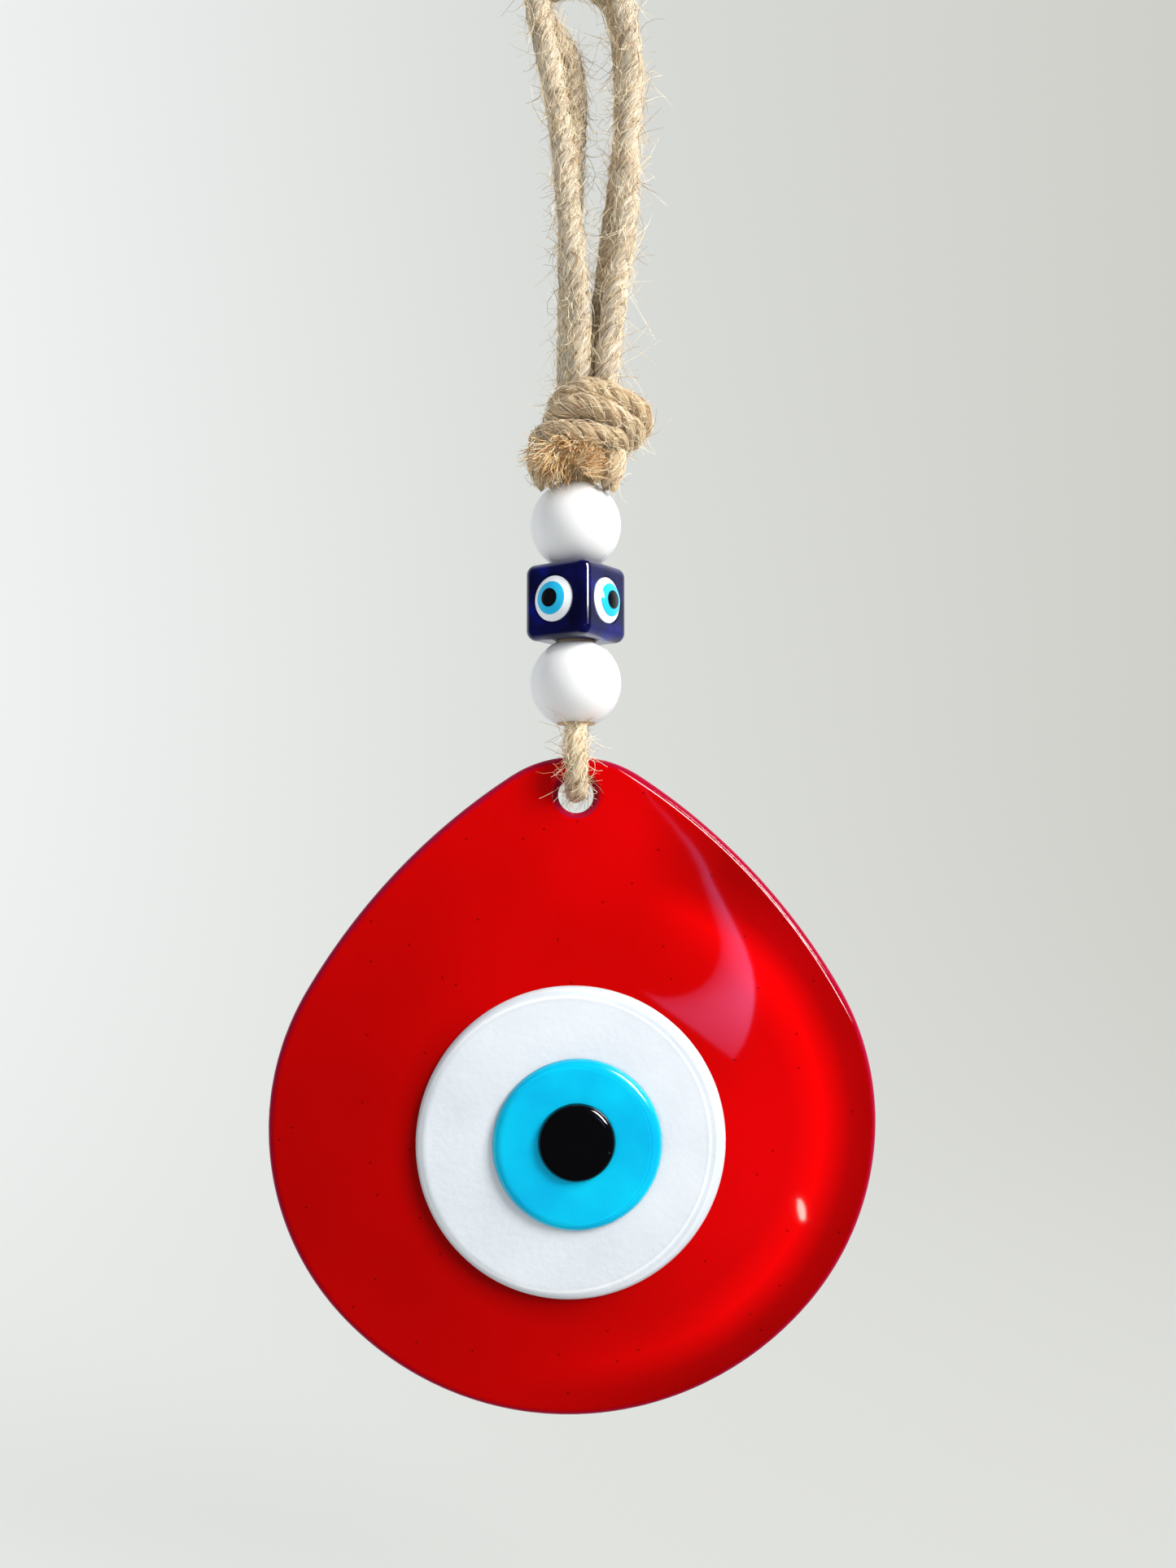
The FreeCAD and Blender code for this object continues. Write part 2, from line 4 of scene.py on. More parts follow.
import bpy
import numpy as np
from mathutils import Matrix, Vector


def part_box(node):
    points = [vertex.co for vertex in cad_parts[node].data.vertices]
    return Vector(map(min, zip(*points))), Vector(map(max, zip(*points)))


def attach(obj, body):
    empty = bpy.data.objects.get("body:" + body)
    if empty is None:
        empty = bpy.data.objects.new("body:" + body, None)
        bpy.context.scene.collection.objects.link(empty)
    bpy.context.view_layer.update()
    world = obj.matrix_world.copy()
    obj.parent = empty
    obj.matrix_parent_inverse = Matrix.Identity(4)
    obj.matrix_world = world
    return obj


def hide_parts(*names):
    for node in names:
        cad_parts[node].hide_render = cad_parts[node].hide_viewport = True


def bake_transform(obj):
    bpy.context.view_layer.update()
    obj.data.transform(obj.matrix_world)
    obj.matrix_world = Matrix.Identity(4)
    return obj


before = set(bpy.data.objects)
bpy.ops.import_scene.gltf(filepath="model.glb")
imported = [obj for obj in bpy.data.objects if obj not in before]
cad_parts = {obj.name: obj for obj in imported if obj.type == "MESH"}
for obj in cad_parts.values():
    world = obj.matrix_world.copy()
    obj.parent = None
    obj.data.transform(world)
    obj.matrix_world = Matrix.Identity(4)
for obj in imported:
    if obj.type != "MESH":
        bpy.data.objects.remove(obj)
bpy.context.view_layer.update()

# ------------------------------------------------------------- places and sizes
MM = 0.001
IMAGE_HEIGHT = 1927
glass_low, glass_high = (Vector(v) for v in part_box("glass_drop"))
HOLE_Z = glass_high.z - 6.8 * MM
EYE_Z = HOLE_Z - 58.6 * MM
# the glass is widest at WIDEST_Z and reaches LOWER_HALF below it
WIDEST_Z = glass_high.z - 63.0 * MM
LOWER_HALF = 48.8 * MM
HALF_WIDTH = (glass_high.x - glass_low.x) / 2
# its right flank is an arc round a point low on the left
FLANK_RADIUS = 110.7 * MM
FLANK_X = -49.8 * MM
FLANK_Z = HOLE_Z - 88.9 * MM
CORD_DIAMETER = 4.1 * MM
CORD_RADIUS = CORD_DIAMETER / 2
SLING_RADIUS = CORD_RADIUS * 0.84


# ----------------------------------------------------------------------- camera
def add_camera():
    """The ornament hangs straight; the camera stands a little left of it and
    just below the hole, tilted up."""
    distance = 212 * MM
    focal = 1486 / IMAGE_HEIGHT
    side = math.radians(-2.5)
    heading = math.radians(3.08)
    pitch = math.radians(2.45)
    data = bpy.data.cameras.new("camera")
    data.sensor_fit = "VERTICAL"
    data.sensor_height = 36
    data.lens = data.sensor_height * focal
    data.clip_start = 0.01
    data.clip_end = 20
    camera = bpy.data.objects.new("camera", data)
    camera.location = (distance * math.sin(side), -distance * math.cos(side), HOLE_Z - 7.07 * MM)
    camera.rotation_euler = (math.pi / 2 + pitch, 0, -heading)
    bpy.context.collection.objects.link(camera)
    bpy.context.scene.camera = camera


# ------------------------------------------------------------------ node helpers
MIX_FACTOR, MIX_FIRST, MIX_SECOND = 0, 6, 7   # a colour Mix node's inputs
MIX_RESULT = 2                                # and its output
WHITE = (1.0, 1.0, 1.0)
BLACK = (0.0, 0.0, 0.0)


class Nodes:
    """Short way to write a procedural material.  A source is a node and the name
    or number of its output."""

    def __init__(self, name):
        self.material = bpy.data.materials.new(name)
        self.material.use_nodes = True
        self.tree = self.material.node_tree
        self.tree.nodes.clear()
        self.output = self.add("ShaderNodeOutputMaterial")
        self.shader = self.add("ShaderNodeBsdfPrincipled")
        self.link(self.shader, "BSDF", self.output, "Surface")

    def add(self, kind, **settings):
        new = self.tree.nodes.new(kind)
        for key, value in settings.items():
            if hasattr(new, key):
                setattr(new, key, value)
            else:
                new.inputs[key].default_value = value
        return new

    def link(self, source, output, target, name):
        self.tree.links.new(source.outputs[output], target.inputs[name])

    def set(self, **values):
        for key, value in values.items():
            self.shader.inputs[key.replace("_", " ")].default_value = value

    def ramp(self, source, output, stops):
        ramp = self.add("ShaderNodeValToRGB")
        self.link(source, output, ramp, "Fac")
        elements = ramp.color_ramp.elements
        while len(elements) < len(stops):
            elements.new(0.5)
        for element, (place, colour) in zip(elements, stops):
            element.position = place
            element.color = (*colour, 1)
        return ramp

    def multiply(self, first, first_output, second, second_output, factor=None, output=None):
        """Second colour multiplied onto the first, where the factor says so."""
        mix = self.add("ShaderNodeMix", data_type="RGBA", blend_type="MULTIPLY")
        mix.inputs[MIX_FACTOR].default_value = 1.0
        self.link(first, first_output, mix, MIX_FIRST)
        self.link(second, second_output, mix, MIX_SECOND)
        if factor:
            self.link(factor, output, mix, MIX_FACTOR)
        return mix

    def blend_in(self, base, colour, factor, output):
        """The base mix, and this one colour where the factor says so."""
        mix = self.add("ShaderNodeMix", data_type="RGBA")
        self.link(factor, output, mix, MIX_FACTOR)
        self.link(base, MIX_RESULT, mix, MIX_FIRST)
        mix.inputs[MIX_SECOND].default_value = (*colour, 1)
        return mix

    def combine(self, operation, first, first_output, second, second_output):
        result = self.add("ShaderNodeMath", operation=operation)
        self.link(first, first_output, result, 0)
        self.link(second, second_output, result, 1)
        return result

    def share(self, source, output, low, high):
        """0 where the source is at low, 1 where it is at high."""
        share = self.add("ShaderNodeMapRange")
        share.inputs["From Min"].default_value = low
        share.inputs["From Max"].default_value = high
        self.link(source, output, share, "Value")
        return share

    def along(self, source, direction):
        dot = self.add("ShaderNodeVectorMath", operation="DOT_PRODUCT")
        self.link(source, "Vector", dot, 0)
        dot.inputs[1].default_value = direction
        return dot

    def length(self, source):
        length = self.add("ShaderNodeVectorMath", operation="LENGTH")
        self.link(source, "Vector", length, 0)
        return length

    def offset_from(self, place, x, z):
        """How far across and up the surface is from the line at x, z along y."""
        offset = self.add("ShaderNodeVectorMath", operation="SUBTRACT")
        self.link(place, "Object", offset, 0)
        offset.inputs[1].default_value = (x, 0, z)
        flat = self.add("ShaderNodeVectorMath", operation="MULTIPLY")
        self.link(offset, "Vector", flat, 0)
        flat.inputs[1].default_value = (1, 0, 1)
        return flat

    def noise(self, scale, detail=3, stretch=None, coordinates="Object"):
        place = self.add("ShaderNodeTexCoord")
        mapping = self.add("ShaderNodeMapping")
        self.link(place, coordinates, mapping, "Vector")
        if stretch:
            mapping.inputs["Scale"].default_value = stretch
        texture = self.add("ShaderNodeTexNoise")
        texture.inputs["Scale"].default_value = scale
        texture.inputs["Detail"].default_value = detail
        self.link(mapping, "Vector", texture, "Vector")
        return texture

    def bump(self, source, output, strength, distance):
        bump = self.add("ShaderNodeBump")
        bump.inputs["Strength"].default_value = strength
        bump.inputs["Distance"].default_value = distance
        self.link(source, output, bump, "Height")
        self.link(bump, "Normal", self.shader, "Normal")


# --------------------------------------------------------------------- materials
def painted_edge_bands(nodes, across, split, flank, body):
    """Painted light and shade on the body colour: a painted dark band inside the right edge
    and a painted light band inside that, and the same at the lower right."""
    lower = nodes.length(across)
    upper = nodes.share(flank, "Value", FLANK_RADIUS - 33 * MM, FLANK_RADIUS)
    nearest = nodes.combine("MAXIMUM", lower, "Value", upper, "Result")
    band = nodes.ramp(nearest, "Value", [(0.70, WHITE), (0.81, (1.36, 1.0, 1.0)),
                                         (0.91, (0.66, 1.0, 1.0)), (1.0, (0.54, 1.0, 1.0))])
    low_right = nodes.along(across, (0.80, 0, -0.60))
    low_weight = nodes.share(low_right, "Value", 0.35, 0.85)
    side_weight = nodes.share(split, "X", 0.20, 0.50)
    weight = nodes.combine("MAXIMUM", low_weight, "Result", side_weight, "Result")
    return nodes.multiply(body, "Color", band, "Color", weight, "Value")


def painted_disc_shadow(nodes, place, colour):
    """Painted shadow of the white disc: darker beside it, on the side away from the light."""
    from_eye = nodes.offset_from(place, 0, EYE_Z)
    near_disc = nodes.share(nodes.length(from_eye), "Value", 25 * MM, 32 * MM)
    shade = nodes.ramp(near_disc, "Result", [(0.2, (0.62, 1.0, 1.0)), (0.9, WHITE)])
    away = nodes.along(from_eye, (-0.9, 0, -0.45))
    weight = nodes.share(away, "Value", 2 * MM, 20 * MM)
    return nodes.multiply(colour, MIX_RESULT, shade, "Color", weight, "Result")


def with_bubbles(nodes, split, colour):
    flat = nodes.add("ShaderNodeCombineXYZ")
    nodes.link(split, "X", flat, "X")
    nodes.link(split, "Z", flat, "Y")
    bubbles = nodes.add("ShaderNodeTexVoronoi", voronoi_dimensions="2D", Scale=5)
    nodes.link(flat, "Vector", bubbles, "Vector")
    spots = nodes.ramp(bubbles, "Distance", [(0.014, (0.40, 1.0, 1.0)), (0.024, WHITE)])
    return nodes.multiply(colour, MIX_RESULT, spots, "Color")


def with_painted_flank_highlight(nodes, split, flank, colour):
    """Painted highlight: a thin light line a little inside the right flank, from the tip down."""
    last_stretch = nodes.share(flank, "Value", FLANK_RADIUS - 2 * MM, FLANK_RADIUS)
    line = nodes.ramp(last_stretch, "Result", [(0.37, BLACK), (0.42, WHITE), (0.47, BLACK)])
    high = nodes.share(split, "Z", 0.34, 0.42)
    right = nodes.share(split, "X", 0.14, 0.20)
    where = nodes.combine("MULTIPLY", high, "Result", right, "Result")
    weight = nodes.combine("MULTIPLY", line, "Color", where, "Value")
    return nodes.blend_in(colour, (1.0, 0.80, 0.88), weight, "Value")


def red_glass():
    """Deep red with painted light: lighter towards the upper right, painted bands of light and shade
    inside the right edge, a painted shadow beside the white disc, a painted highlight line on the
    right flank and a crimson rim of painted shade."""
    nodes = Nodes("red_glass")
    place = nodes.add("ShaderNodeTexCoord")
    # across and up from the glass's widest line, 1 at the side and at the bottom
    across = nodes.add("ShaderNodeMapping")
    nodes.link(place, "Object", across, "Vector")
    across.inputs["Scale"].default_value = (1 / HALF_WIDTH, 0, 1 / LOWER_HALF)
    across.inputs["Location"].default_value = (0, 0, -WIDEST_Z / LOWER_HALF)
    split = nodes.add("ShaderNodeSeparateXYZ")
    nodes.link(across, "Vector", split, "Vector")
    flank = nodes.length(nodes.offset_from(place, FLANK_X, FLANK_Z))
    # an uneven tone from the waves, and painted light: the red grows lighter towards the upper right,
    # where the lamp is
    waves = nodes.noise(22, detail=2)
    towards_light = nodes.along(across, (0.22, 0, 0.12))
    level = nodes.combine("ADD", towards_light, "Value", waves, "Fac")
    body = nodes.ramp(level, "Value", [(0.2, (0.38, 0.0, 0.0)), (0.55, (0.47, 0.0, 0.0)),
                                       (0.85, (0.58, 0.0, 0.001))])
    # painted light and shade: bands inside the right and lower right edge
    with_edge_light_bands = painted_edge_bands(nodes, across, split, flank, body)
    # painted shadow of the white disc on the red glass
    shaded = painted_disc_shadow(nodes, place, with_edge_light_bands)
    spotted = with_bubbles(nodes, split, shaded)
    # painted shade: crimson where the surface turns away at the rounded rim
    normal = nodes.add("ShaderNodeSeparateXYZ")
    nodes.link(place, "Normal", normal, "Vector")
    facing = nodes.add("ShaderNodeMath", operation="ABSOLUTE")
    nodes.link(normal, "Y", facing, 0)
    turned = nodes.ramp(facing, "Value", [(0.86, WHITE), (0.95, BLACK)])
    with_rim_shade = nodes.blend_in(spotted, (0.30, 0.003, 0.024), turned, "Color")
    # painted highlight along the right flank
    with_flank_highlight = with_painted_flank_highlight(nodes, split, flank, with_rim_shade)
    nodes.link(with_flank_highlight, MIX_RESULT, nodes.shader, "Base Color")
    # the rim mirrors little, so that the lamps draw no rough line on it
    mirrored = nodes.ramp(facing, "Value", [(0.90, (0.12, 0.12, 0.12)), (0.985, (0.5, 0.5, 0.5))])
    nodes.link(mirrored, "Color", nodes.shader, "Specular IOR Level")
    nodes.set(Roughness=0.04, Subsurface_Weight=0.12,
              Subsurface_Radius=(0.010, 0.001, 0.001), Subsurface_Scale=0.5)
    nodes.bump(waves, "Fac", 0.10, 0.0010)
    return nodes.material


def milk_glass(node, dark, light, roughness, ring_radius, ring_shift, pits=0.0):
    """Opaque glass of a disc.  A painted highlight line runs inside its edge, a little to the
    left, where the lamp gleams on the rounded shoulder, and the glass beyond that line is thin and
    greyish."""
    nodes = Nodes(node)
    low, high = (Vector(v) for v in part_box(node))
    middle = (low + high) / 2
    cloud = nodes.noise(90, detail=4)
    colour = nodes.ramp(cloud, "Fac", [(0.3, dark), (0.7, light)])
    place = nodes.add("ShaderNodeTexCoord")
    mapping = nodes.add("ShaderNodeMapping")
    nodes.link(place, "Object", mapping, "Vector")
    mapping.inputs["Scale"].default_value = (1 / ring_radius, 0, 1 / ring_radius)
    mapping.inputs["Location"].default_value = (-(middle.x + ring_shift) / ring_radius, 0,
                                                -middle.z / ring_radius)
    # the ramp's right end is 1.12 times the ring's radius
    distance = nodes.share(nodes.length(mapping), "Value", 0, 1.12)
    # painted highlight: the lines above 1 stand for the lamp's gleam on the rounded shoulder; the
    # grey bands are the thin glass there
    rings = nodes.ramp(distance, "Result", [
        (0.860, WHITE), (0.880, (0.93, 0.95, 0.96)), (0.893, (1.22, 1.17, 1.12)),
        (0.906, (0.95, 0.96, 0.97)), (0.925, (0.90, 0.92, 0.94)), (0.935, (1.06, 1.05, 1.04)),
        (0.950, (0.90, 0.92, 0.94))])
    with_shoulder_highlight = nodes.multiply(colour, "Color", rings, "Color")
    nodes.link(with_shoulder_highlight, MIX_RESULT, nodes.shader, "Base Color")
    nodes.set(Roughness=roughness, Coat_Weight=0.3, Coat_Roughness=0.08, Specular_IOR_Level=0.35,
              Subsurface_Weight=0.5, Subsurface_Radius=(0.003, 0.003, 0.003),
              Subsurface_Scale=0.7)
    if pits:
        fine = nodes.noise(900, detail=3)
        nodes.bump(fine, "Fac", pits, 0.0002)
    return nodes.material


def gloss(name, colour, roughness=0.08, **more):
    nodes = Nodes(name)
    nodes.set(Base_Color=(*colour, 1), Roughness=roughness, Coat_Weight=0.4,
              Coat_Roughness=0.04, **more)
    return nodes.material


def cobalt_glass():
    nodes = Nodes("cobalt_glass")
    cloud = nodes.noise(160, detail=3)
    colour = nodes.ramp(cloud, "Fac", [(0.35, (0.001, 0.001, 0.022)), (0.55, (0.003, 0.004, 0.07)),
                                       (0.76, (0.004, 0.009, 0.26))])
    nodes.link(colour, "Color", nodes.shader, "Base Color")
    nodes.set(Roughness=0.07, Coat_Weight=0.5, Coat_Roughness=0.03, Subsurface_Weight=0.2,
              Subsurface_Radius=(0.0002, 0.0006, 0.006), Subsurface_Scale=0.5)
    nodes.bump(cloud, "Fac", 0.04, 0.0004)
    return nodes.material


def jute(name, dark, middle, light):
    """Fibre colour varies along and across the plies, which carry UVs: U round
    the ply, V along it in millimetres."""
    nodes = Nodes(name)
    streak = nodes.noise(1.0, detail=6, stretch=(12, 0.45, 1), coordinates="UV")
    patch = nodes.noise(160, detail=3)
    colour = nodes.ramp(streak, "Fac", [(0.33, dark), (0.45, middle), (0.60, light)])
    tint = nodes.ramp(patch, "Fac", [(0.3, (0.78, 0.74, 0.70)), (0.7, WHITE)])
    mix = nodes.multiply(colour, "Color", tint, "Color")
    nodes.link(mix, MIX_RESULT, nodes.shader, "Base Color")
    nodes.set(Roughness=0.85, Sheen_Weight=0.25, Sheen_Roughness=0.5, Specular_IOR_Level=0.2)
    nodes.bump(streak, "Fac", 0.9, 0.0004)
    return nodes.material


def hair_material(name, colour):
    nodes = Nodes(name)
    nodes.set(Base_Color=(*colour, 1), Roughness=0.7, Sheen_Weight=0.2, Specular_IOR_Level=0.3)
    return nodes.material


# -------------------------------------------------------------------------- cord
PLIES = 3
PLY_SIDES = 20           # points round a ply
CORD_STEP = 0.35 * MM    # between the rings of points along a cord
LAY = 9.0                # length in which a ply winds once round the cord, mm
FIBRE_SAMPLES = 6        # points along a loose fibre
LOOSE_FIBRE = 0.046      # radius of a fibre that stands off the cord, mm
LYING_FIBRE = 0.05       # of one that lies on it
BRUSH_FIBRE = 0.062      # and of one at a cut end


def nurbs_points(name, route):
    """The smooth line of an open NURBS spline with these control points."""
    curve = bpy.data.curves.new(name + "_line", "CURVE")
    curve.dimensions = "3D"
    curve.resolution_u = 24
    spline = curve.splines.new("NURBS")
    spline.points.add(len(route) - 1)
    for point, place in zip(spline.points, route):
        point.co = (*place, 1)
    spline.order_u = 3
    spline.use_endpoint_u = True
    holder = bpy.data.objects.new(name + "_line", curve)
    bpy.context.collection.objects.link(holder)
    bpy.context.view_layer.update()
    mesh = bpy.data.meshes.new_from_object(holder)
    line = [vertex.co.copy() for vertex in mesh.vertices]
    bpy.data.objects.remove(holder)
    bpy.data.curves.remove(curve)
    bpy.data.meshes.remove(mesh)
    return line


def even(line, step):
    """The same line with points a fixed step apart."""
    places = np.array([tuple(p) for p in line])
    lengths = np.r_[0, np.cumsum(np.linalg.norm(np.diff(places, axis=0), axis=1))]
    count = max(4, int(lengths[-1] / step))
    wanted = np.linspace(0, lengths[-1], count + 1)
    return np.stack([np.interp(wanted, lengths, places[:, k]) for k in range(3)], axis=1), wanted


def frames_along(points):
    """Tangents and a pair of normals that turn as little as they can."""
    tangents = np.gradient(points, axis=0)
    tangents /= np.linalg.norm(tangents, axis=1)[:, None]
    side = np.cross(tangents[0], (0.0, 1.0, 0.0))
    if np.linalg.norm(side) < 0.1:
        side = np.cross(tangents[0], (1.0, 0.0, 0.0))
    sides = []
    for tangent in tangents:
        side = side - tangent * np.dot(side, tangent)
        side = side / np.linalg.norm(side)
        sides.append(side)
    sides = np.array(sides)
    return tangents, sides, np.cross(tangents, sides)


def tube_rings(centres, radius, around, taper):
    """Rings of points round the centres; the radius may change along them."""
    count = len(centres)
    _, sides, ups = frames_along(centres)
    radii = np.broadcast_to(radius, (count,)).copy()
    if taper:
        ends = np.minimum(np.arange(count), np.arange(count)[::-1])
        radii *= np.clip((ends + 1) / taper, 0.25, 1) ** 0.5
    angles = np.linspace(0, 2 * math.pi, around, endpoint=False)
    ring = (np.cos(angles)[None, :, None] * sides[:, None] +
            np.sin(angles)[None, :, None] * ups[:, None])
    return centres[:, None] + ring * radii[:, None, None], angles


class MeshBuilder:
    """Collects tubes into one mesh with UVs."""

    def __init__(self):
        self.vertices = []
        self.faces = []
        self.uvs = []
        self.count = 0

    def add_tube(self, rings, along_mm, round_mm):
        rows, around, _ = rings.shape
        base = self.count
        self.vertices.append(rings.reshape(-1, 3))
        for row in range(rows - 1):
            for k in range(around):
                after = (k + 1) % around
                a = base + row * around + k
                b = base + row * around + after
                self.faces.append((a, b, b + around, a + around))
                u0 = round_mm * k / around
                u1 = round_mm * (k + 1) / around
                v0 = along_mm[row]
                v1 = along_mm[row + 1]
                self.uvs.append(((u0, v0), (u1, v0), (u1, v1), (u0, v1)))
        self.faces.append(tuple(base + k for k in reversed(range(around))))
        self.uvs.append(((0, 0),) * around)
        last = base + (rows - 1) * around
        self.faces.append(tuple(last + k for k in range(around)))
        self.uvs.append(((0, 0),) * around)
        self.count += rows * around

    def make(self, name, material):
        mesh = bpy.data.meshes.new(name)
        mesh.from_pydata(np.vstack(self.vertices).tolist(), [], self.faces)
        layer = mesh.uv_layers.new(name="UVMap")
        flat = [value for face in self.uvs for pair in face for value in pair]
        layer.data.foreach_set("uv", flat)
        mesh.polygons.foreach_set("use_smooth", [True] * len(mesh.polygons))
        mesh.materials.append(material)
        piece = bpy.data.objects.new(name, mesh)
        bpy.context.collection.objects.link(piece)
        return piece


def rope(name, line, radius, seed, material, phase=0.0, taper=0.0):
    """A laid jute cord: plies that wind slowly round the line, each with an
    uneven surface.  Returns the piece and the centre line."""
    rng = np.random.default_rng(seed)
    points, along = even(line, CORD_STEP)
    _, sides, ups = frames_along(points)
    builder = MeshBuilder()
    ply_radius = radius * 0.52
    offset = radius * 0.50
    twist = phase + along / MM / LAY * 2 * math.pi
    wander = smooth_noise(rng, len(points), 14) * 0.35
    for ply in range(PLIES):
        angle = twist + wander + ply * 2 * math.pi / PLIES
        centres = (points + sides * (np.cos(angle) * offset)[:, None] +
                   ups * (np.sin(angle) * offset)[:, None])
        thickness = ply_radius * (1 + 0.10 * smooth_noise(rng, len(points), 10))
        rings, angles = tube_rings(centres, thickness, PLY_SIDES, taper)
        # yarns within the ply stand out as low ridges that wind with it
        ridges = np.zeros(rings.shape[:2])
        for count, depth in ((4, 0.07), (7, 0.07), (11, 0.06)):
            lean = rng.uniform(-0.9, -0.3)
            shift = rng.uniform(0, 6.28)
            ridges += depth * np.sin(count * angles[None, :] + lean * along[:, None] / MM + shift)
        rough = rng.normal(0, 0.02, rings.shape[:2])
        rings = centres[:, None] + (rings - centres[:, None]) * (1 + ridges + rough)[:, :, None]
        builder.add_tube(rings, along / MM, 2 * math.pi * ply_radius / MM)
    piece = builder.make(name, material)
    return piece, points


def smooth_noise(rng, count, every):
    knots = rng.uniform(-1, 1, max(4, count // every + 3))
    return np.interp(np.linspace(0, len(knots) - 1, count), np.arange(len(knots)), knots)


def fibre_curve(name, shades, radius_mm):
    """An empty curve for fibres, in three shades of the same fibre."""
    curve = bpy.data.curves.new(name, "CURVE")
    curve.dimensions = "3D"
    curve.bevel_depth = radius_mm * MM
    curve.bevel_resolution = 0
    curve.resolution_u = 1
    for shade in shades:
        curve.materials.append(shade)
    piece = bpy.data.objects.new(name, curve)
    bpy.context.collection.objects.link(piece)
    return piece


def add_fibre(curve, places, rng, thin_tip=0.6):
    spline = curve.splines.new("POLY")
    spline.points.add(len(places) - 1)
    spline.material_index = int(rng.choice(3, p=(0.46, 0.34, 0.20)))
    for k, place in enumerate(places):
        spline.points[k].co = (*place, 1)
        spline.points[k].radius = 1.0 - thin_tip * k / len(places)


def hairs(name, points, radius, count, seed, shades, lengths=(2.5, 8.0)):
    """Loose fibres: each starts on the cord, lies along it and lifts away."""
    rng = np.random.default_rng(seed)
    tangents, sides, ups = frames_along(points)
    piece = fibre_curve(name, shades, LOOSE_FIBRE)
    for _ in range(count):
        length = rng.uniform(*lengths) * MM * (1.9 if rng.random() < 0.06 else 1.0)
        start = rng.integers(2, len(points) - 2)
        direction = 1 if rng.random() < 0.5 else -1
        angle = rng.uniform(0, 2 * math.pi)
        spin = rng.uniform(-0.5, 0.9)
        rise = rng.exponential(0.35) * 0.8
        outward = sides[start] * math.cos(angle) + ups[start] * math.sin(angle)
        place = points[start] + outward * radius * 0.97
        bend = rng.normal(0, 0.5, 3)
        heading = tangents[start] * direction + np.cross(tangents[start], outward) * spin
        heading = heading / np.linalg.norm(heading) + outward * rise
        places = []
        for _ in range(FIBRE_SAMPLES):
            places.append(place)
            heading = heading / np.linalg.norm(heading)
            place = place + heading * length / FIBRE_SAMPLES
            heading = heading + bend * 0.42 + rng.normal(0, 0.14, 3) - outward * 0.05
        add_fibre(piece.data, places, rng)
    return piece


def tuft(name, root, tip, radius, count, seed, shades, spread=0.45):
    """The brush of a cut cord end: fibres that fan out from root towards tip."""
    rng = np.random.default_rng(seed)
    piece = fibre_curve(name, shades, BRUSH_FIBRE)
    root = np.array(root)
    along = np.array(tip) - root
    reach = np.linalg.norm(along)
    along = along / reach
    for _ in range(count):
        scatter = rng.normal(0, 1, 3)
        scatter -= along * np.dot(scatter, along)
        place = root + scatter * radius * 0.5
        heading = along + scatter * spread * rng.uniform(0.3, 1.0)
        length = reach * rng.uniform(0.5, 1.15)
        places = []
        for _ in range(FIBRE_SAMPLES):
            places.append(place)
            heading = heading / np.linalg.norm(heading)
            place = place + heading * length / FIBRE_SAMPLES
            heading = heading + rng.normal(0, 0.20, 3)
        add_fibre(piece.data, places, rng, 0.4)
    return piece


def lying_fibres(name, points, radius, count, seed, shades):
    """Fibres that lie on the cord's surface and follow its twist."""
    rng = np.random.default_rng(seed)
    _, sides, ups = frames_along(points)
    step = np.linalg.norm(points[1] - points[0])
    piece = fibre_curve(name, shades, LYING_FIBRE)
    for _ in range(count):
        span = int(rng.uniform(2, 6) * MM / step)
        start = rng.integers(1, max(2, len(points) - span - 1))
        angle = rng.uniform(0, 2 * math.pi)
        turn = 2 * math.pi / LAY * rng.uniform(-0.5, 1.4) * step / MM
        samples = FIBRE_SAMPLES + 1
        places = []
        height = radius * rng.uniform(0.90, 1.04)
        for k in range(samples):
            index = min(len(points) - 1, start + span * k // (samples - 1))
            here = angle + turn * (index - start)
            lift = height * (1 + 0.06 * math.sin(math.pi * k / (samples - 1)))
            places.append(points[index] + (sides[index] * math.cos(here) +
                                           ups[index] * math.sin(here)) * lift)
        add_fibre(piece.data, places, rng)
    return piece


def as_mesh(piece):
    """The same piece as a mesh."""
    bpy.context.view_layer.update()
    mesh = bpy.data.meshes.new_from_object(piece)
    name = piece.name
    bpy.data.objects.remove(piece)
    new = bpy.data.objects.new(name, mesh)
    bpy.context.collection.objects.link(new)
    return new


def above_hole(points, depth=None):
    """Route points in metres from millimetres above the glass's hole."""
    if depth is None:
        return [Vector((x, y, 0)) * MM + Vector((0, 0, HOLE_Z + z * MM)) for x, y, z in points]
    return [Vector((x * MM, depth * MM, HOLE_Z + z * MM)) for x, z in points]


# The loops' routes, as (x, height above the hole), go up, round the peg and down.
# Round the peg they are half an octagon about the arc that the cord follows.
LOOP_ARC = 8.0
OCTAGON_HALF_SIDE = 3.31
LOOP_DEPTH = 2.35
PEG_Z = (CORD_RADIUS / MM - LOOP_ARC) - HOLE_Z / MM
CROWN = [(-LOOP_ARC, PEG_Z + OCTAGON_HALF_SIDE), (-OCTAGON_HALF_SIDE, PEG_Z + LOOP_ARC),
         (OCTAGON_HALF_SIDE, PEG_Z + LOOP_ARC), (LOOP_ARC, PEG_Z + OCTAGON_HALF_SIDE)]
FRONT_LOOP = ([(0.4, 72.0), (0.7, 84.0), (-1.0, 99.0), (-2.3, 115.0), (-4.7, 130.0)] + CROWN +
              [(10.2, 130.0), (8.9, 114.0), (8.6, 99.0), (6.1, 84.0), (5.2, 72.0)])
REAR_LOOP = ([(-1.3, 72.0), (-1.0, 85.0), (-1.1, 101.0), (-0.4, 115.0), (0.2, 124.0),
              (-0.4, 134.0)] + CROWN +
             [(9.4, 129.0), (8.6, 114.0), (6.4, 100.0), (4.7, 85.0), (4.6, 72.0)])


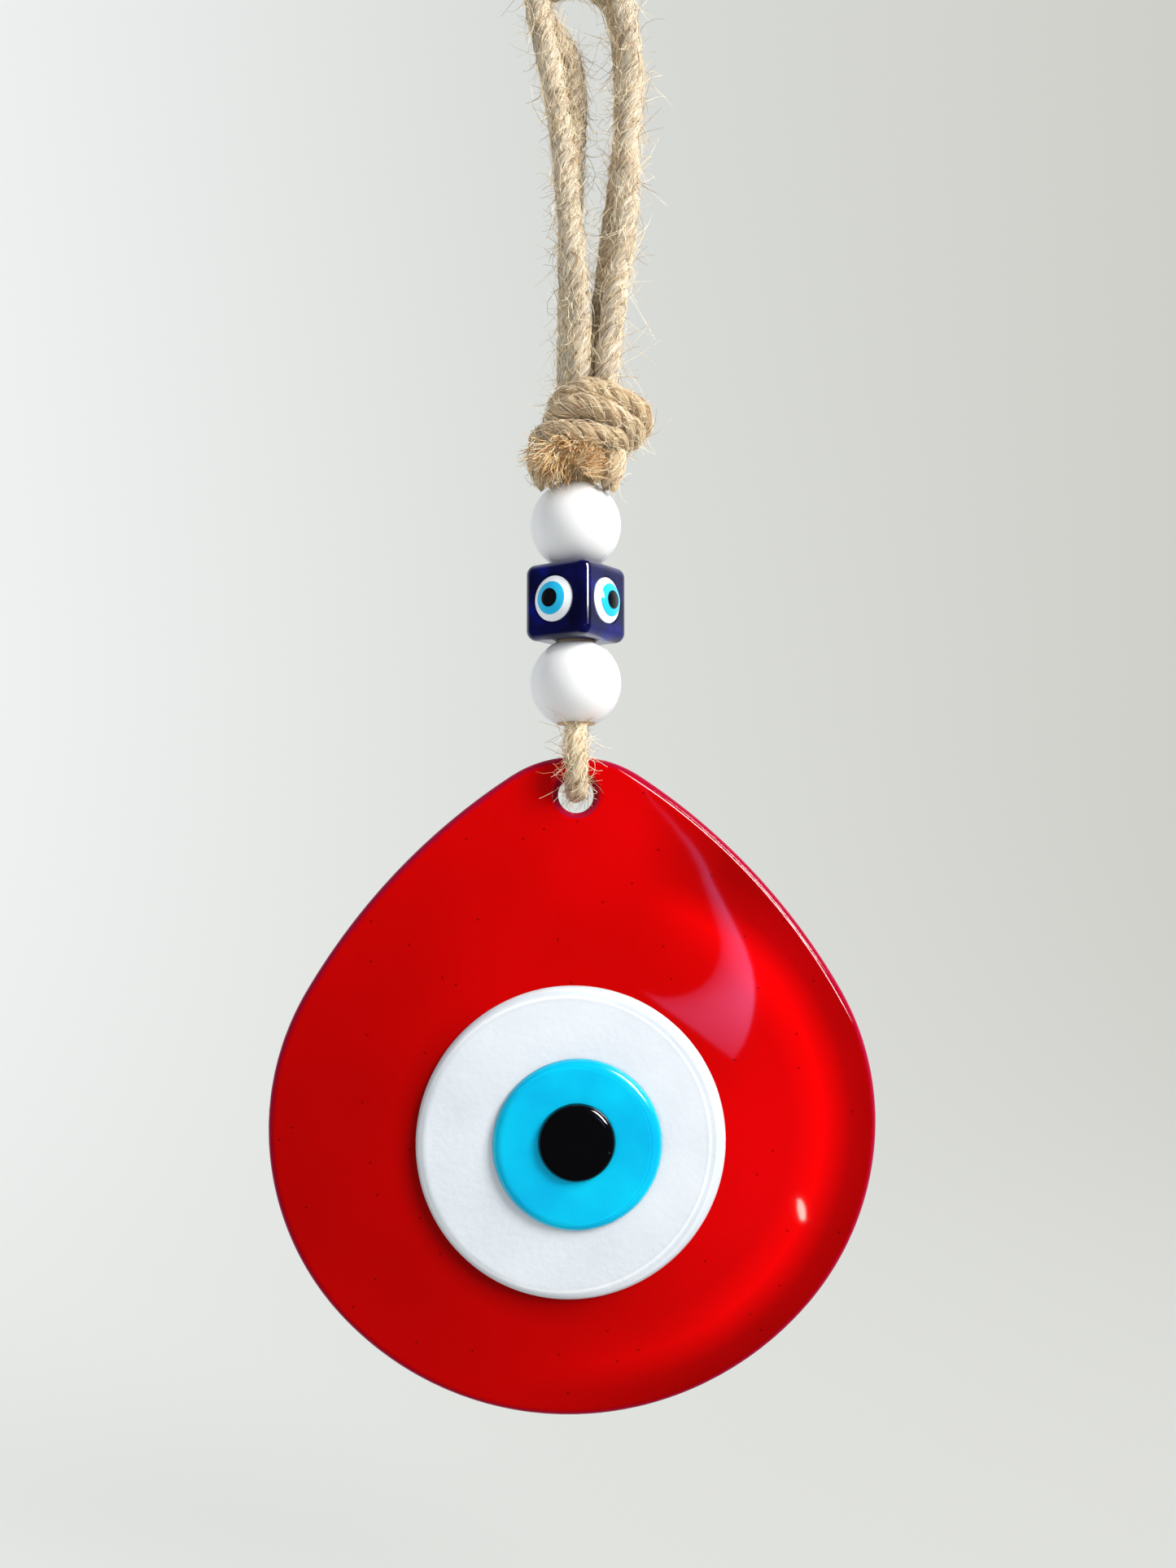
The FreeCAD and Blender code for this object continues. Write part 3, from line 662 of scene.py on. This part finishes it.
def hanging_loops(materials):
    for side, route, depth, seed in (("front", FRONT_LOOP, -LOOP_DEPTH, 3),
                                     ("rear", REAR_LOOP, LOOP_DEPTH, 8)):
        node = "hanging_loop_" + side
        line = nurbs_points(node, above_hole(route, depth))
        piece, points = rope("loop_rope_" + side, line, CORD_RADIUS, seed, materials["jute_loops"],
                             phase=seed)
        lying = lying_fibres("loop_lying_fibres_" + side, points, CORD_RADIUS, 1100, seed + 1,
                             materials["fibres"])
        loose = hairs("loop_loose_fibres_" + side, points, CORD_RADIUS, 1900, seed + 2,
                      materials["fibres"])
        for each in (piece, lying, loose):
            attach(each, "hanging_cord")
        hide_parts(node)


def hole_sling(materials):
    route = above_hole([(0, -1.7, 13.6), (0, -2.08, 12.4), (0, -2.2, 10.6), (0, -4.4, 7.2),
                        (0, -5.0, 3.4), (0, -2.2, 0.6), (0, 2.2, 0.6), (0, 5.3, 3.4),
                        (0, 5.3, 7.2), (0, 2.2, 10.6), (0, 2.08, 12.4), (0, 1.7, 13.6)])
    line = nurbs_points("hole_sling", route)
    piece, points = rope("sling_rope", line, SLING_RADIUS, 21, materials["jute_sling"],
                         phase=1.0)
    lying = as_mesh(lying_fibres("sling_lying_fibres", points, SLING_RADIUS, 260, 22,
                                 materials["fibres"]))
    loose = as_mesh(hairs("sling_loose_fibres", points, SLING_RADIUS, 560, 23,
                          materials["fibres"], lengths=(2.0, 6.5)))
    for each in (piece, lying, loose):
        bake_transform(each)
    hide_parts("hole_sling")


LYING_FIBRES_PER_POINT = 3.4
LOOSE_FIBRES_PER_POINT = 2.6


def knot(materials):
    """The overhand knot: wraps of the same cord over a tight middle."""
    first = None
    for index, (route, radius) in enumerate(KNOT_ROUTES):
        line = nurbs_points("knot", above_hole(route))
        piece, points = rope("knot_rope_%d" % index, line, radius * MM, 40 + index,
                             materials["jute"], phase=index * 1.3, taper=8)
        lying = lying_fibres("knot_lying_fibres_%d" % index, points, radius * MM,
                             int(len(points) * LYING_FIBRES_PER_POINT), 60 + index,
                             materials["fibres"])
        loose = hairs("knot_loose_fibres_%d" % index, points, radius * MM,
                      int(len(points) * LOOSE_FIBRES_PER_POINT), 80 + index,
                      materials["fibres"], lengths=(1.5, 5.0))
        for each in (piece, lying, loose):
            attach(each, "hanging_cord")
        first = first or piece
    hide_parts("knot")


# Each wrap of the knot as (x, y, height above the hole) and its radius
KNOT_ROUTES = [
    # top wrap: from behind on the left, over the front, down to the right bulge
    ([(-0.5, 5.5, 68.0), (-3.4, 2.5, 68.6), (-2.6, -2.6, 69.8), (1.8, -4.6, 71.0), (7.2, -4.4, 69.4),
      (12.0, -2.0, 67.4), (11.4, 3.0, 65.0), (6.0, 5.5, 65.4)], 2.05),
    # second wrap: below it, tucked under the bulge
    ([(-1.0, 5.0, 66.0), (-4.4, 1.5, 66.2), (-2.8, -5.2, 66.6), (1.4, -7.6, 67.0), (5.4, -7.6, 65.2),
      (9.2, -5.4, 63.6), (10.8, -0.5, 63.8), (7.0, 4.0, 63.5)], 2.1),
    # third wrap: nearly level across the front
    ([(-4.0, 4.5, 63.0), (-7.0, 0.5, 62.8), (-5.0, -5.8, 62.4), (-0.6, -8.0, 62.0), (3.8, -7.6, 61.4),
      (7.6, -5.4, 62.0), (8.4, -0.5, 62.0), (4.0, 5.0, 61.0)], 2.05),
    # left and right columns down to the bead
    ([(-4.4, -2.5, 64.0), (-6.6, -4.4, 60.6), (-6.7, -4.9, 56.8), (-5.2, -4.8, 53.2)], 2.0),
    ([(5.2, -2.5, 63.5), (6.4, -4.4, 60.0), (6.3, -5.0, 56.6), (5.2, -4.9, 53.0)], 2.0),
    # back strands
    ([(-2.0, 4.6, 66.0), (-4.6, 4.8, 62.0), (-4.4, 4.4, 59.6), (-3.2, 3.8, 57.8)], 2.05),
    ([(2.6, 4.6, 66.0), (4.6, 4.6, 62.0), (4.4, 4.4, 59.6), (3.2, 3.8, 57.8)], 2.05),
    # tight middle
    ([(1.6, 0.0, 70.0), (1.4, 0.0, 66.0), (0.0, -0.4, 60.0), (0.0, 0.0, 56.0)], 4.4),
]


# Brushes of the cut ends: root, tip, radius (mm, height above the hole) and number of fibres
CUT_END_TUFTS = {
    "left": [((-3.6, -6.6, 58.6), (-6.8, -7.2, 53.4), 2.0, 420),
             ((-1.8, -7.2, 59.4), (-3.2, -9.6, 56.6), 1.9, 380)],
    "right": [((0.4, -7.2, 56.6), (4.4, -8.8, 58.8), 1.8, 420),
              ((1.6, -6.8, 58.6), (2.4, -9.0, 55.6), 1.9, 260)],
}
CUT_END_ROUTES = {
    "left": [(-1.6, -5.4, 62.0), (-2.8, -6.2, 60.0), (-4.4, -6.4, 57.4), (-5.4, -6.4, 56.2)],
    "right": [(4.4, -4.6, 61.6), (3.0, -6.2, 60.0), (1.6, -6.8, 58.6), (0.8, -6.8, 57.8)],
}


def cut_ends(materials):
    for side, route in CUT_END_ROUTES.items():
        name = "cut_end_" + side
        seed = 101 if side == "left" else 131
        line = nurbs_points(name, above_hole(route))
        piece, _ = rope("frayed_" + side, line, 1.8 * MM, seed, materials["jute_dark"])
        brushes = [piece]
        for index, (root, tip, radius, count) in enumerate(CUT_END_TUFTS[side]):
            root, tip = above_hole([root, tip])
            brushes.append(tuft("fray_%s_%d" % (side, index), root, tip, radius * MM, count,
                                seed + 1 + index, materials["fray"]))
        for each in brushes:
            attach(each, "hanging_cord")
        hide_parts(name)


# ------------------------------------------------------------------------ studio
def area_light(name, place, target, size, power, colour=(1, 1, 1), size_y=None):
    data = bpy.data.lights.new(name, "AREA")
    data.energy = power
    data.color = colour
    data.size = size
    if size_y:
        data.shape = "RECTANGLE"
        data.size_y = size_y
    light = bpy.data.objects.new(name, data)
    light.location = place
    light.rotation_euler = (Vector(target) - Vector(place)).to_track_quat("-Z", "Y").to_euler()
    bpy.context.collection.objects.link(light)
    return light


def light_pane(name, edges, colour, power, strengths=None):
    """A glowing strip between two edges, seen only as its mirror image.
    strengths(along, inward) says how bright each point is; without it the strip
    glows evenly."""
    rows = 40
    across = 10
    vertices = []
    glow = []
    for row in range(rows):
        along = row / (rows - 1)
        ends = [edge[int(along * (len(edge) - 1))] for edge in edges]
        for k in range(across):
            inward = k / (across - 1)
            vertices.append(tuple(ends[0] * (1 - inward) + ends[1] * inward))
            if strengths:
                glow.append(strengths(along, inward))
    faces = [(r * across + k, r * across + k + 1, (r + 1) * across + k + 1, (r + 1) * across + k)
             for r in range(rows - 1) for k in range(across - 1)]
    mesh = bpy.data.meshes.new(name)
    mesh.from_pydata(vertices, [], faces)
    nodes = Nodes(name)
    emission = nodes.add("ShaderNodeEmission", Color=(*colour, 1), Strength=power)
    nodes.link(emission, "Emission", nodes.output, "Surface")
    if strengths:
        mesh.attributes.new("strength", "FLOAT", "POINT").data.foreach_set("value", glow)
        strength = nodes.add("ShaderNodeAttribute", attribute_name="strength")
        scale = nodes.add("ShaderNodeMath", operation="MULTIPLY")
        scale.inputs[1].default_value = power
        nodes.link(strength, "Fac", scale, 0)
        nodes.link(scale, "Value", emission, "Strength")
    mesh.materials.append(nodes.material)
    pane = bpy.data.objects.new(name, mesh)
    bpy.context.collection.objects.link(pane)
    for kind in ("camera", "diffuse", "transmission", "volume_scatter", "shadow"):
        setattr(pane, "visible_" + kind, False)


def pane_point(x, y, z):
    """A place x to the right of the axis, y behind it and z above the hole, in mm."""
    return Vector((x * MM, y * MM, HOLE_Z + z * MM))


def arc_edge(x, y, z, heading, arcs):
    """An edge of arcs that starts at x, z in the plane at depth y.  The heading is in
    degrees above the right; each arc is its radius in mm and its turn to the right."""
    heading = math.radians(heading)
    route = [pane_point(x, y, z)]
    for radius, turn in arcs:
        stretch = radius * math.radians(turn)
        steps = round(stretch)
        for _ in range(steps):
            heading -= math.radians(turn) / steps / 2
            x += stretch / steps * math.cos(heading)
            z += stretch / steps * math.sin(heading)
            heading -= math.radians(turn) / steps / 2
            route.append(pane_point(x, y, z))
    return even(route, 1 * MM)[0]


def drawn_edge(points, y):
    """A smooth edge in the plane at depth y through points given as (x, z)."""
    return even(nurbs_points("pane_edge", [pane_point(x, y, z) for x, z in points]), 1 * MM)[0]


def window_lights():
    """Two windows in front on the right: a crescent, and a small low one."""
    outer = arc_edge(85, -520, 192, -46, [(550, 24), (103, 62)])
    inner = arc_edge(85, -520, 189, -45, [(335, 32), (57, 142)])

    def crescent(along, inward):
        """Brightest at the outer edge, weaker near both ends."""
        tip = max(0.0, along - 0.8) / 0.2 * (1 - inward)
        return (1 - 0.85 * inward) * min(1, 0.2 + along) * (1 - 0.8 * tip)

    light_pane("crescent_window", (outer, inner), (0.40, 0.43, 1.0), 4.5, crescent)
    left = drawn_edge([(113, -133), (112, -138), (115, -144)], -172)
    right = drawn_edge([(114, -133), (118, -138), (117, -144)], -172)
    light_pane("low_window", (left, right), (1.0, 0.85, 0.75), 18)


def room():
    """Pale light from all round.  In mirror reflections the room in front is dim, so
    that the glass keeps its red, and the side of the backdrop is bright."""
    world = bpy.data.worlds.new("world")
    world.use_nodes = True
    tree = world.node_tree
    background = tree.nodes["Background"]
    background.inputs["Color"].default_value = (0.93, 0.96, 1.0, 1)
    path = tree.nodes.new("ShaderNodeLightPath")
    direction = tree.nodes.new("ShaderNodeTexCoord")
    split = tree.nodes.new("ShaderNodeSeparateXYZ")
    tree.links.new(direction.outputs["Generated"], split.inputs["Vector"])
    behind = tree.nodes.new("ShaderNodeMapRange")
    behind.inputs["From Min"].default_value = 0.0
    behind.inputs["From Max"].default_value = 0.5
    behind.inputs["To Min"].default_value = 0.035
    behind.inputs["To Max"].default_value = 0.70
    tree.links.new(split.outputs["Y"], behind.inputs["Value"])
    # a plain Mix node: input 0 chooses between the numbers 2 and 3, output 0 is the result
    strength = tree.nodes.new("ShaderNodeMix")
    strength.inputs[2].default_value = 0.34
    tree.links.new(path.outputs["Is Glossy Ray"], strength.inputs[0])
    tree.links.new(behind.outputs["Result"], strength.inputs[3])
    tree.links.new(strength.outputs[0], background.inputs["Strength"])
    bpy.context.scene.world = world


def lamps():
    # from the upper right, brightest on the cord and the top of the glass
    key = area_light("key", Vector((0.55, -0.35, HOLE_Z + 0.38)), Vector((0, 0, HOLE_Z + 0.05)),
                     0.24, 2.25, (1.0, 0.98, 0.95), 0.46)
    key.data.spread = math.radians(80)
    middle = Vector((0, 0, HOLE_Z - 40 * MM))
    fill = area_light("fill", middle + Vector((-0.55, -0.7, 0.35)), middle, 0.6, 1.7,
                      (0.95, 0.97, 1.0))
    fill.visible_glossy = False


def backdrop():
    """A floor that sweeps up into a wall, far enough behind to stay plain.  Metres."""
    floor_z = glass_low.z - 45 * MM
    floor_front = -1.6
    wall_y = 0.55
    wall_height = 2.2
    half_width = 2.5
    bend = 0.25
    steps = 12
    profile = [(floor_front, floor_z), (wall_y - bend, floor_z)]
    for k in range(1, steps):
        angle = math.pi / 2 * k / steps
        profile.append((wall_y - bend + bend * math.sin(angle),
                        floor_z + bend - bend * math.cos(angle)))
    profile += [(wall_y, floor_z + bend), (wall_y, floor_z + wall_height)]
    vertices = [(side, y, z) for side in (-half_width, half_width) for y, z in profile]
    count = len(profile)
    faces = [(k, k + 1, count + k + 1, count + k) for k in range(count - 1)]
    mesh = bpy.data.meshes.new("backdrop")
    mesh.from_pydata(vertices, [], faces)
    mesh.polygons.foreach_set("use_smooth", [True] * len(faces))
    # pale, with painted shade a little darker towards the right, and bright by itself so that it
    # stays plain
    nodes = Nodes("backdrop")
    place = nodes.add("ShaderNodeTexCoord")
    split = nodes.add("ShaderNodeSeparateXYZ")
    nodes.link(place, "Object", split, "Vector")
    across = nodes.share(split, "X", -0.45, 0.45)
    shade = nodes.ramp(across, "Result", [(0.0, (0.85, 0.87, 0.87)), (0.5, (0.66, 0.675, 0.65)),
                                          (1.0, (0.59, 0.59, 0.55))])
    nodes.link(shade, "Color", nodes.shader, "Emission Color")
    nodes.set(Base_Color=(0.07, 0.07, 0.07, 1), Roughness=0.95, Specular_IOR_Level=0.1,
              Emission_Strength=1.0)
    mesh.materials.append(nodes.material)
    sweep = bpy.data.objects.new("backdrop", mesh)
    bpy.context.collection.objects.link(sweep)
    sweep.visible_glossy = False


# ------------------------------------------------------------------------- build
def paint(name, material):
    piece = bpy.data.objects[name]
    piece.data.materials.clear()
    piece.data.materials.append(material)


add_camera()
bpy.context.scene.view_settings.view_transform = "Standard"
materials = {
    "jute": jute("jute", (0.11, 0.05, 0.018), (0.56, 0.37, 0.19), (1.0, 0.84, 0.58)),
    "jute_loops": jute("jute_loops", (0.10, 0.055, 0.03), (0.60, 0.48, 0.335), (1.0, 0.94, 0.79)),
    "jute_sling": jute("jute_sling", (0.26, 0.13, 0.04), (0.74, 0.56, 0.31), (1.0, 0.95, 0.74)),
    "jute_dark": jute("jute_dark", (0.16, 0.075, 0.03), (0.36, 0.20, 0.085), (0.60, 0.40, 0.20)),
    "fibres": [hair_material("fibre_pale", (1.0, 0.90, 0.68)),
               hair_material("fibre_middle", (0.76, 0.58, 0.35)),
               hair_material("fibre_brown", (0.32, 0.19, 0.085))],
    "fray": [hair_material("fray_pale", (0.96, 0.80, 0.52)),
             hair_material("fray_orange", (0.78, 0.47, 0.18)),
             hair_material("fray_brown", (0.44, 0.23, 0.08))],
}
hanging_loops(materials)
hole_sling(materials)
knot(materials)
cut_ends(materials)

paint("glass_drop", red_glass())
paint("eye_white_disc", milk_glass("eye_white_disc", (0.62, 0.66, 0.71), (0.68, 0.72, 0.77), 0.32,
                                    24.4 * MM, -1.07 * MM, 0.35))
paint("eye_blue_disc", milk_glass("eye_blue_disc", (0.0, 0.40, 0.69), (0.0, 0.54, 0.80), 0.18,
                                   12.9 * MM, -0.84 * MM))
paint("eye_pupil", gloss("pupil", (0.001, 0.001, 0.0015), 0.07))
white_bead = gloss("white_bead", (0.78, 0.785, 0.79), 0.10, Subsurface_Weight=0.6,
                   Subsurface_Radius=(0.004, 0.004, 0.004), Subsurface_Scale=1.0)
paint("bead_lower", white_bead)
paint("bead_upper", white_bead)
paint("bead_cube", cobalt_glass())
eye_paints = {
    "white": gloss("small_white", (0.82, 0.86, 0.90), 0.12, Specular_IOR_Level=0.15),
    "blue": gloss("small_blue", (0.02, 0.48, 0.80), 0.12, Specular_IOR_Level=0.15),
    "black": gloss("small_black", (0.004, 0.004, 0.006), 0.08),
}
for face in ("front_left", "front_right", "back_right", "back_left"):
    for colour, material in eye_paints.items():
        paint("cube_eye_%s_%s" % (face, colour), material)
for side in ("front", "rear"):
    paint("bead_cord_" + side, materials["jute"])
room()
lamps()
window_lights()
backdrop()
